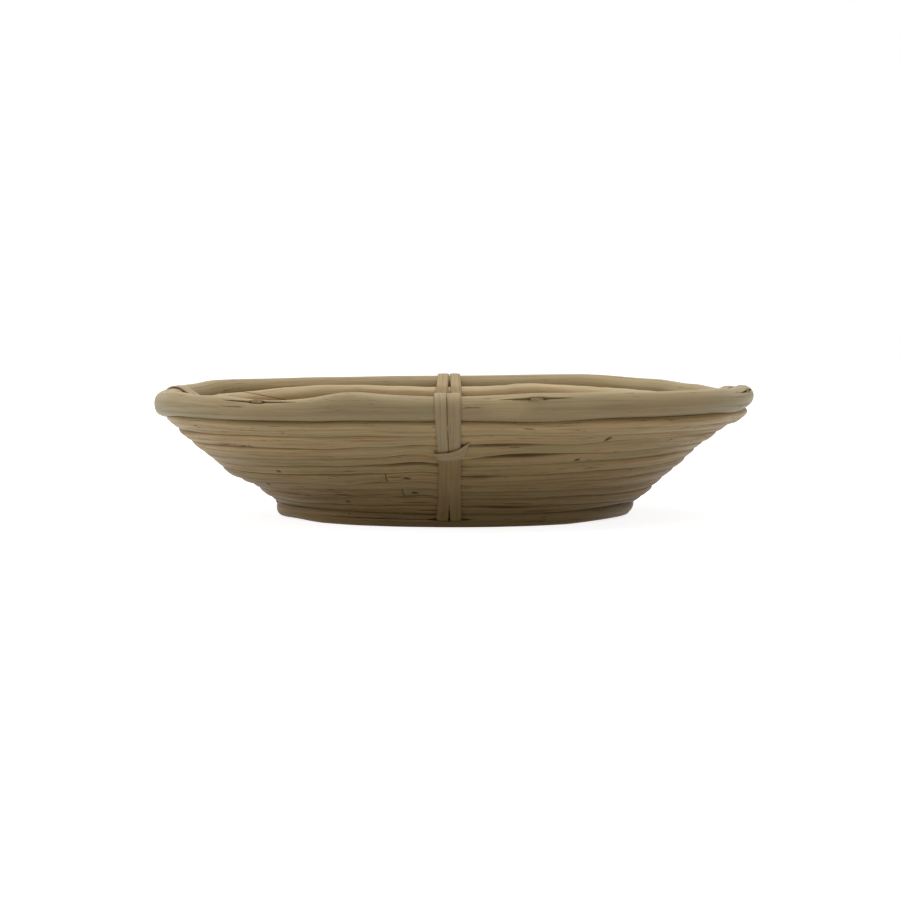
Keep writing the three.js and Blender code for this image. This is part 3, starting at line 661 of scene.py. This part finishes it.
rim_sag = run_through(RIM_RUN)
rim_ring = ring_of("rim_rod")
splits = [{**RIM_SPLIT, "angle": angle, "half_length": half_length * MM, "half_width": half_width * MM}
          for angle, (half_length, half_width) in zip(PEG_ANGLES, RIM_SPLIT_SIZES)]
rim = drawn_rod(sides=64, steps=900)
bend_rod(
    rim, rim_ring, RIM_ROD, *butted(rim_ring, RIM_JOINT), seed=14.2,
    contacts=RIM_CONTACTS, squareness=RIM_SQUARENESS, crowd=(PEG_RISE, 1), splits=splits, swell=EVEN_SWELL,
    swellings=RIM_SWELLINGS, marks=RIM_MARKS, rise=rim_sag,
)
piece_from(rim, "rim_pole", RIM_RATTAN, "rim_rattan", "rim_rod")

# Inside the rim a thinner, paler rod lies in the corner between the rim pole and the top hoop. Its two
# ends are cut to wedges that sag a little where they meet.
INNER_ROD = 9.1 * MM
INNER_SCARF = 137
INNER_SCARF_HALF_SPAN = 8
INNER_LAP = 11
INNER_CONTACTS = (17, -58)
INNER_SQUARENESS = 2.1
INNER_RUN = [(-155, -1.0), (-120, 0), (-60, 0.5), (-18, -0.6), (-5, -1.4), (11, -4.6), (20, -5.8), (34, -4.6),
             (42, -3.6), (49, -2.7), (54, -2.3), (60, -1.5), (65, -0.9), (72, -0.1), (75, -0.3), (79, -1.5),
             (84, -2.1), (95, -2.2), (103, -1.3), (113, 0), (122, 0.5), (130, -0.1), (142, -1.4), (150, -1.6),
             (158, -2.2), (171, -2.4), (184, -2.8)]

inner_rise = run_through(INNER_RUN)
inner_ring = ring_of("rim_inner_rod")
inner = drawn_rod(sides=28, steps=620)
bend_rod(
    inner, inner_ring, INNER_ROD, INNER_SCARF - INNER_LAP, 360 + 2 * INNER_LAP, seed=17.9,
    contacts=INNER_CONTACTS, squareness=INNER_SQUARENESS, swell=EVEN_SWELL, rise=inner_rise,
)
cut_scarf(inner, inner_ring, INNER_ROD, INNER_SCARF, INNER_SCARF_HALF_SPAN, INNER_LAP,
          lift=inner_rise(INNER_SCARF), first_on_top=False)
piece_from(inner, "rim_inner", PALE_RATTAN, "pale_rattan", "rim_inner_rod")

# The pegs: short split pegs driven inwards through the rim pole into the inner rod, which holds the two
# together. Their blunt ends stand a little proud of the splits that they forced open.
PEG_WIDTH = 7.5 * MM
PEG_THICKNESS = 2.5 * MM
PEG_PROUD = 0.35 * MM
PEG_BITE = 3 * MM
PEG_ROUNDING = 0.5 * MM
PEG_SUNK = [1.3, 0, 0, 0, 0, 0]
PEG_WEAR = 0.25 * MM
PEG_PINCH = 0.25

PEG_CANE = rattan_material(
    "peg_cane", pale=(0.36, 0.27, 0.16), deep=(0.22, 0.15, 0.08), tint=(0.27, 0.21, 0.12),
    blush=(0.30, 0.19, 0.10), dark=(0.06, 0.035, 0.015), along=60, across=900, scars=0.6, roughness=0.65)

for index, angle in enumerate(PEG_ANGLES, start=1):
    out, along = directions(angle)
    sag = rim_sag(angle)
    rim_radius, rim_height = ring_point(rim_ring, angle)
    inner_radius, inner_height = ring_point(inner_ring, angle)
    rise = radians(PEG_RISE)
    mouth = out * (rim_radius + RIM_ROD / 2 * cos(rise))
    mouth.z = rim_height + sag + RIM_ROD / 2 * sin(rise)
    aim = out * inner_radius
    aim.z = inner_height + sag
    inwards = (aim - mouth).normalized()
    depth = (aim - mouth).length - INNER_ROD / 2 + PEG_BITE + PEG_PROUD
    middle = mouth + inwards * (depth / 2 - PEG_PROUD + PEG_SUNK[index - 1] * MM)
    over = inwards.cross(along)
    peg = bmesh.new()
    bmesh.ops.create_cube(peg, size=1)
    bmesh.ops.scale(peg, vec=(PEG_WIDTH, PEG_THICKNESS, depth), verts=peg.verts)
    bmesh.ops.bevel(peg, geom=peg.edges[:], offset=PEG_ROUNDING, segments=3, profile=0.5,
                    affect="EDGES", material=-1)
    long_edges = [edge for edge in peg.edges if edge.calc_length() > PEG_ROUNDING * 2]
    bmesh.ops.subdivide_edges(peg, edges=long_edges, cuts=6, use_grid_fill=True)
    place, _, _ = add_layers(peg)
    for vert in peg.verts:
        side, height, length = vert.co
        worn = PEG_WEAR * uneven(side * 420, height * 420, index + length * 60)
        pinched = 1 - PEG_PINCH * abs(side / PEG_WIDTH * 2) ** 3
        vert[place] = (length + index, side, height)
        vert.co = middle + along * side + over * height * pinched + inwards * (length + worn)
    piece_from(peg, f"peg_{index}", PEG_CANE, "split_cane", f"rim_peg_{index}")

# The rim strips: at each side two strips of split cane start under the cross tie, run up the outside and
# over the rim, and go down the inside, spreading a little, to the groove round the base.
STRIP_THICKNESS = 1.2 * MM
STRIP_CLEAR = 0.15 * MM
STRIP_SPREAD = 4.5 * MM
STRIP_STEP = 0.9 * MM
STRIP_SQUARENESS = 5
CANE_CROWN = 0.18 * MM
CANE_RIBS = 0.05 * MM
CANE_WAVE = 0.12 * MM
CANE_RAGGED = 0.22 * MM
SHARPEST_CURL = 60 * MM
EDGE_TRIM = 0.12 * MM
# Painted shade: the edges of the strips and bands are darkened where a thin shadow lies beside them.
EDGE_SHADE = 0.5
EDGE_SHADE_POWER = 14
ARC = radians(6)
TIE_COURSE = 7
SIDE_SHIFT = {"front": -3 * MM, "right": 0, "back": 3 * MM, "left": 0}
STRIP_LOOSE = {"front": 0, "right": 0.3 * MM, "back": 0, "left": 0.3 * MM}
RIM_STRIP_EDGES = {
    "front": ((-6.2, 0.2, 7.0), (-8.3, -1.2, 6.8)),
    "right": ((-6.6, 0.1, 6.9), (-7.4, -0.6, 6.6)),
    "back": ((-6.9, -0.2, 6.5), (-6.9, 0.0, 7.6)),
    "left": ((-6.8, 0.0, 6.6), (-6.4, 0.5, 7.3)),
}

hug = STRIP_CLEAR + STRIP_THICKNESS / 2


def hugged(ring, thickness, angle, lift=0):
    """A rod's section at one side as radius, height and the distance at which a strip passes it."""
    radius, height = ring_point(ring, angle)
    return radius, height + lift, thickness / 2 + hug


def wall_rod(course, angle):
    """The same for one hoop of the wall, counted from the bottom."""
    radius, height, reach = hugged(wall_rings[course - 1], WALL_RODS[course - 1] * MM, angle)
    out = hoop_proud(course, angle)
    reach += max(0, seam(course, angle)[0] - seam(course - 1, angle)[0]) / 4
    return radius + out * sin(wall_slope), height - out * cos(wall_slope), reach


def bearing(here, there):
    """The side on which a taut strip leaves one rod for the next."""
    dr, dz = there[0] - here[0], there[1] - here[1]
    return atan2(dz, dr) - acos((here[2] - there[2]) / hypot(dr, dz))


def taut_line(rods):
    """The middle line of a strip drawn tight over a row of rods, bending round each on its outside."""
    line = [rods[0][:2]]
    for before, here, after in zip(rods, rods[1:], rods[2:]):
        arrive = bearing(before, here)
        turn = remainder(bearing(here, after) - arrive, tau)
        arcs = max(ceil(turn / ARC), 0)
        for k in range(arcs + 1):
            way = arrive + turn * (k / arcs if arcs else 0.5)
            line.append((here[0] + here[2] * cos(way), here[1] + here[2] * sin(way)))
    return line + [rods[-1][:2]]


def lengths_along(line):
    """How far along a line each of its points lies."""
    lengths = [0]
    for here, there in zip(line, line[1:]):
        lengths.append(lengths[-1] + dist(here, there))
    return lengths


def evened(line, step):
    """The same line with its points an even distance apart, and its corners eased."""
    lengths = lengths_along(line)
    count = max(2, round(lengths[-1] / step))
    points = []
    k = 0
    for i in range(count + 1):
        at = lengths[-1] * i / count
        while k < len(line) - 2 and lengths[k + 1] < at:
            k += 1
        share = (at - lengths[k]) / (lengths[k + 1] - lengths[k])
        points.append(Vector(line[k]).lerp(Vector(line[k + 1]), share))
    inner = [(a + 2 * b + c) / 4 for a, b, c in zip(points, points[1:], points[2:])]
    return [points[0]] + inner + [points[-1]]


def straight_plan(side_angle):
    """The run of a strip that stays in the upright plane of one side: its place and its way in plan."""
    out, _ = directions(side_angle)
    return lambda distance: (out * distance, out)


def cane_section(turn):
    """Where a strip's skin lies across and through it, from -1 to 1: flat faces and rounded edges."""
    parts = (cos(turn), sin(turn))
    return [copysign(abs(part) ** (2 / STRIP_SQUARENESS), part) for part in parts]


def lay_strip(name, line, plan, thickness, edges, seed, *nodes, tone=(1, 1, 1)):
    """Lays a strip along a line of distances and heights. plan(distance) gives the place and the way in
    plan, and edges(share) how far to the side its two edges lie at each share of its length."""
    points = evened(line, STRIP_STEP)
    steps = len(points) - 1
    strip = drawn_rod(sides=24, steps=steps)
    place, groove, stain = layers_of(strip)
    for vert in strip.verts:
        share, turn, _ = vert[place]
        step = round(share * steps)
        here = points[step]
        tangent = (points[min(step + 1, steps)] - points[max(step - 1, 0)]).normalized()
        normal = Vector((tangent.y, -tangent.x))
        length = share * steps * STRIP_STEP
        across, up = cane_section(turn)
        left, right = edges(share)
        half = (right - left) / 2
        crown = CANE_CROWN * (1 - across * across) if up > 0 else 0
        ribs = CANE_RIBS * uneven(length * 12, across * 5, seed + 21)
        wave = CANE_WAVE * uneven(length * 50, across, seed + 3)
        rise = up * thickness / 2 + crown + wave + ribs
        ragged = CANE_RAGGED * uneven(length * 60, copysign(1, across), seed + 8)
        beside = (left + right) / 2 + across * half + ragged * abs(across) ** 4
        distance, height = here + normal * rise
        distance -= beside ** 2 / (2 * max(abs(distance), SHARPEST_CURL)) * copysign(1, distance)
        spot, way = plan(distance)
        vert[place] = (length + seed, across * half, rise)
        # Painted shade along the strip's edges.
        vert[groove] = EDGE_SHADE * abs(across) ** EDGE_SHADE_POWER
        vert[stain] = (*tone, 1)
        vert.co = spot + Vector((-way.y, way.x, 0)) * beside + Vector((0, 0, height))
    close_up(strip)
    piece_from(strip, name, CANE, "split_cane", *nodes)


def tie_groove(angle):
    """The groove that a cross tie covers, between two hoops of the wall: its radius and height, and how
    far from it the strips pass."""
    lower, upper = wall_rod(TIE_COURSE, angle), wall_rod(TIE_COURSE + 1, angle)
    return (lower[0] + upper[0]) / 2, (lower[1] + upper[1]) / 2, max(lower[2], upper[2])


def fold_point(angle, shift):
    """Where strips end under the cross tie, shifted up the slope from the groove."""
    radius, height, reach = tie_groove(angle)
    radius += reach * sin(wall_slope) + shift * cos(wall_slope)
    return radius, height - reach * cos(wall_slope) + shift * sin(wall_slope), 0


CANE = rattan_material(
    "split_cane", pale=(0.47, 0.355, 0.205), deep=(0.34, 0.25, 0.135), tint=(0.38, 0.30, 0.17),
    blush=(0.42, 0.28, 0.155), dark=(0.09, 0.05, 0.025), along=16, across=900, scars=0.3, roughness=0.42,
    dust_and_shade=0.5)

for side, angle in SIDE_ANGLES.items():
    outside = [wall_rod(course, angle) for course in range(TIE_COURSE + 1, 11)]
    lift = rim_sag(angle) + STRIP_LOOSE[side]
    over = [hugged(rim_ring, RIM_ROD, angle, lift), hugged(inner_ring, INNER_ROD, angle, lift)]
    inside = [wall_rod(course, angle) for course in range(TIE_COURSE, 0, -1)]
    groove_radius = inside[-1][0] - inside[-1][2]
    tuck = (groove_radius, base_height + BASE_ROD / 2 - STRIP_THICKNESS, 0)
    line = taut_line([fold_point(angle, 1 * MM), *outside, *over, *inside, tuck])
    heights = [point[1] for point in line]
    lengths = lengths_along(line)
    top = lengths[heights.index(max(heights))] / lengths[-1]
    at_fold, at_rim = RIM_STRIP_EDGES[side]
    for hand, k in (("left", 0), ("right", 1)):

        def edges(share):
            climbed = min(1, share / top)
            spread = max(0, share - top) / (1 - top) * STRIP_SPREAD * (2 * k - 1)
            left, right = (
                (low + (high - low) * climbed) * MM + SIDE_SHIFT[side] + spread + inset
                for low, high, inset in zip(at_fold[k:k + 2], at_rim[k:k + 2], (EDGE_TRIM, -EDGE_TRIM)))
            return left, right

        lay_strip(f"{side}_over_rim_{hand}", line, straight_plan(angle), STRIP_THICKNESS, edges,
                  3.3 * k + angle / 10, f"{side}_rim_strip_{hand}")

# The long ties: four strips of split cane that run from the cross ties down the outside and through the
# slits in the foot ring, and cross under the base. The side pair leaves its sides a little behind the
# middle, bends inside the foot, and passes straight across below the other pair.
TIE_WIDTH = 6.7 * MM
TIE_GAP_TOP = -0.6 * MM
TIE_GAP_FOOT = 0.7 * MM
TIE_CENTRE = 0.5 * MM
TIE_DRIFT = 1.0 * MM
TIE_LEAVES_FOOT = 0.62
TIE_CLIMB = 0.16
TIE_TONE = (0.77, 0.68, 0.52)
TIE_DIP = 1.1 * FOOT_ROD
SIDE_BEND = 6 * MM
SIDE_TIE_ANGLES = (165, 15)


def half_tie(angle, under_height):
    """One half of a long tie, from under the base out through the foot and up to the cross tie."""
    radius, height = ring_point(foot_ring, angle)
    corner = (radius + FOOT_ROD / 2 + hug, SLIT_HEIGHT, 0)
    leaving = (radius - FOOT_ROD / 2 - hug, SLIT_HEIGHT)
    rising = (radius - TIE_DIP, under_height)
    outside = [wall_rod(course, angle) for course in range(1, TIE_COURSE + 1)]
    return [rising, leaving] + taut_line([corner, *outside, fold_point(angle, 4 * MM)])


side_turn = radians(SIDE_ANGLES["right"])
side_corner = ring_point(foot_ring, 0)[0] - FOOT_ROD / 2 - hug
side_across = side_corner * cos(side_turn) - SIDE_BEND
side_curve = SIDE_BEND / tan(side_turn / 2)
side_longer = side_across + side_curve * side_turn - side_corner - SIDE_BEND


def side_plan(distance):
    """The run of the side ties: straight across behind the middle of the base, then out at an angle."""
    run = abs(distance)
    hand = copysign(1, distance)
    turn = min(max(0, (run - side_across) / side_curve), side_turn)
    way = Vector((cos(turn), hand * sin(turn), 0))
    behind = side_corner * sin(side_turn)
    if turn < side_turn:
        forward = min(run, side_across) + side_curve * sin(turn)
        return Vector((hand * forward, behind + side_curve * (1 - cos(turn)), 0)), way
    radius = run - side_longer
    return Vector((hand * radius * cos(side_turn), radius * sin(side_turn), 0)), way


base_underside = base_height - BASE_ROD / 2
upper_run = base_underside - hug
lower_run = upper_run - STRIP_THICKNESS - STRIP_CLEAR
for pair, first, second, run, plan, longer, centre, nodes in (
    ("front_back", 90, -90, upper_run, straight_plan(-90), 0, SIDE_SHIFT["front"] + TIE_CENTRE,
     ("front_back_tie_left", "front_back_tie_right")),
    ("side", *SIDE_TIE_ANGLES, lower_run, side_plan, side_longer, 0, ("side_tie_front", "side_tie_back")),
):
    far = [(-radius - longer, height) for radius, height in half_tie(first, run)]
    near = [(radius + longer, height) for radius, height in half_tie(second, run)]
    line = far[::-1] + near
    for sign, node in zip((-1, 1), nodes):

        def edges(share):
            end = min(max((abs(2 * share - 1) - TIE_LEAVES_FOOT) / TIE_CLIMB, 0), 1)
            gap = TIE_GAP_FOOT + (TIE_GAP_TOP - TIE_GAP_FOOT) * end * end * (3 - 2 * end)
            drift = TIE_DRIFT * (0.5 - abs(2 * share - 1) ** 3) if pair == "front_back" else 0
            inner = centre - drift + sign * gap / 2
            outer = inner + sign * TIE_WIDTH
            return min(inner, outer), max(inner, outer)

        lay_strip(node.replace("tie", "cane"), line, plan, STRIP_THICKNESS, edges, 6.1 * sign + run * 900,
                  node, tone=TIE_TONE)

# The cross ties: a slanted band over each pair of strips. Its tail is tucked into the groove on the right,
# and on the left it folds round the strips in a pointed corner and goes back under them.
BAND_THICKNESS = 0.9 * MM
BAND_STEPS = 90
BAND_RISE = 4.9 * MM
BAND_CROWN = 0.15 * MM
BAND_WAVE = 0.1 * MM
BAND_CURL = 150 * MM
BAND_STRETCH = (30 * MM, 3 * MM)
# Along the band: its upper and lower edge, sideways and up the slope, and how far both stand out.
BAND_EDGES = [
    ((11.2, 8.1), (11.0, 7.4), -0.3), ((9.6, 7.0), (10.6, 4.2), 0.5), ((7.8, 5.9), (9.6, 0.6), 1.2),
    ((5.7, 4.8), (8.2, -2.8), 1.9), ((3.0, 3.5), (5.2, -4.5), 2.2), ((0, 2.3), (2.0, -4.8), 2.3),
    ((-3.5, 1.6), (-1.5, -5.1), 2.3), ((-6.5, 1.1), (-4.0, -5.3), 2.2), ((-8.1, 0.8), (-5.0, -5.3), 1.7),
    ((-7.9, 0.7), (-4.9, -5.2), 0.9), ((-6.0, 0.9), (-3.5, -5.1), 0.75),
]


def band_edges(at):
    """The lower and the upper edge of the band anywhere between its listed rows, on smooth curves."""
    first = min(int(at), len(BAND_EDGES) - 2)
    t = at - first
    four = [BAND_EDGES[min(max(first + i, 0), len(BAND_EDGES) - 1)] for i in (-1, 0, 1, 2)]
    weights = (-0.5 * t + t ** 2 - 0.5 * t ** 3, 1 - 2.5 * t ** 2 + 1.5 * t ** 3,
               0.5 * t + 2 * t ** 2 - 1.5 * t ** 3, -0.5 * t ** 2 + 0.5 * t ** 3)
    return [sum((Vector((*row[end], row[2])) * w for row, w in zip(four, weights)), Vector()) * MM
            for end in (1, 0)]


rows = [band_edges(k / BAND_STEPS * (len(BAND_EDGES) - 1)) for k in range(BAND_STEPS + 1)]
for side, angle in SIDE_ANGLES.items():
    out, along = directions(angle)
    climb = out * cos(wall_slope) + Vector((0, 0, sin(wall_slope)))
    outwards = out * sin(wall_slope) - Vector((0, 0, cos(wall_slope)))
    radius, height, reach = tie_groove(angle)
    seat = out * radius + Vector((0, 0, height))
    seat += outwards * (reach - hug) + along * SIDE_SHIFT[side] + climb * BAND_RISE
    band = drawn_rod(sides=24, steps=BAND_STEPS)
    place, groove, _ = layers_of(band)
    for vert in band.verts:
        share, turn, _ = vert[place]
        across, up = cane_section(turn)
        step = round(share * BAND_STEPS)
        near = [rows[min(max(step + k, 0), BAND_STEPS)] for k in (-1, 0, 1)]
        before, here, after = (low.lerp(high, (across + 1) / 2) for low, high in near)
        width = near[1][1] - near[1][0]
        thick = width.cross(after - before).normalized()
        rise = up * BAND_THICKNESS / 2 + (BAND_CROWN * (1 - across ** 2) if up > 0 else 0)
        rise += BAND_WAVE * uneven(share * 9, across * 1.5, angle)
        spot = here + thick * rise
        spot.z -= spot.x ** 2 / (2 * BAND_CURL)
        vert[place] = (share * BAND_STRETCH[0] + angle, across * BAND_STRETCH[1], rise)
        # Painted shade along the band's edges.
        vert[groove] = EDGE_SHADE * abs(across) ** EDGE_SHADE_POWER
        vert.co = seat + along * spot.x + climb * spot.y + outwards * spot.z
    close_up(band)
    piece_from(band, f"{side}_band", CANE, "split_cane", f"{side}_cross_tie")

# Camera, light and floor: a level view from the front, a broad soft light from above and another from
# the left, and a plain pale floor that is white to the camera.
CAMERA_DISTANCE = 2.24
CAMERA_HEIGHT = 0.160
CAMERA_AIM = Vector((-0.0024, 0, 0.0384))
CAMERA_LENS = 151.1
STUDIO_LIGHT = 0.39
OVERHEAD_WATTS = 15.4
LEFT_WATTS = 5.6
LAMP_AIM = Vector((0, 0, 0.04))
FLOOR_GREY = 0.6
FLOOR_GLOW = 0.84

scene = bpy.context.scene
camera = bpy.data.objects.new("camera", bpy.data.cameras.new("camera"))
camera.data.lens = CAMERA_LENS
camera.data.sensor_width = 36
camera.location = (0, -CAMERA_DISTANCE, CAMERA_HEIGHT)
camera.rotation_euler = (CAMERA_AIM - camera.location).to_track_quat("-Z", "Y").to_euler()
scene.collection.objects.link(camera)
bpy.context.scene.camera = camera
scene.view_settings.view_transform = "Standard"


def seen_directly(tree):
    """1 for what the camera sees, straight or in a reflection or through glass, and 0 for other light."""
    rays = add_node(tree, "ShaderNodeLightPath").outputs
    straight = maths(tree, "MAXIMUM", rays["Is Camera Ray"], rays["Is Glossy Ray"])
    return maths(tree, "MAXIMUM", straight, rays["Is Transmission Ray"])


world = bpy.data.worlds.new("studio")
scene.world = world
world.use_nodes = True
sky = world.node_tree
background = sky.nodes["Background"]
background.inputs["Color"].default_value = (1, 1, 1, 1)
strength = add_node(sky, "ShaderNodeMapRange", {0: seen_directly(sky), 3: STUDIO_LIGHT, 4: 1.0})
sky.links.new(strength.outputs[0], background.inputs["Strength"])


def hang_lamp(name, place, size, power):
    """A soft rectangular lamp that faces the basket."""
    lamp = bpy.data.lights.new(name, "AREA")
    lamp.shape = "RECTANGLE"
    lamp.size, lamp.size_y = size
    lamp.energy = power
    holder = bpy.data.objects.new(name, lamp)
    holder.location = place
    holder.rotation_euler = (LAMP_AIM - holder.location).to_track_quat("-Z", "Y").to_euler()
    scene.collection.objects.link(holder)


hang_lamp("overhead", (0, 0, 1.4), (1.4, 1.4), OVERHEAD_WATTS)
hang_lamp("left", (-1.6, 0.2, 0.5), (1.2, 0.8), LEFT_WATTS)

ground = bmesh.new()
bmesh.ops.create_grid(ground, x_segments=1, y_segments=1, size=3)
floor_mesh = bpy.data.meshes.new("floor")
ground.to_mesh(floor_mesh)
ground.free()
floor = bpy.data.objects.new("floor", floor_mesh)
scene.collection.objects.link(floor)
floor_paint = bpy.data.materials.new("floor_paint")
floor_paint.use_nodes = True
paint = floor_paint.node_tree
matt = paint.nodes["Principled BSDF"]
matt.inputs["Base Color"].default_value = (FLOOR_GREY, FLOOR_GREY, FLOOR_GREY, 1)
matt.inputs["Roughness"].default_value = 0.9
matt.inputs["Emission Color"].default_value = (1, 1, 1, 1)
glow = maths(paint, "MULTIPLY", seen_directly(paint), FLOOR_GLOW)
paint.links.new(glow, matt.inputs["Emission Strength"])
behind = add_node(paint, "ShaderNodeNewGeometry")
clear = add_node(paint, "ShaderNodeBsdfTransparent")
seen = add_node(paint, "ShaderNodeMixShader", {
    0: behind.outputs["Backfacing"], 1: matt.outputs[0], 2: clear.outputs[0]})
paint.links.new(seen.outputs[0], paint.nodes["Material Output"].inputs["Surface"])
floor_mesh.materials.append(floor_paint)
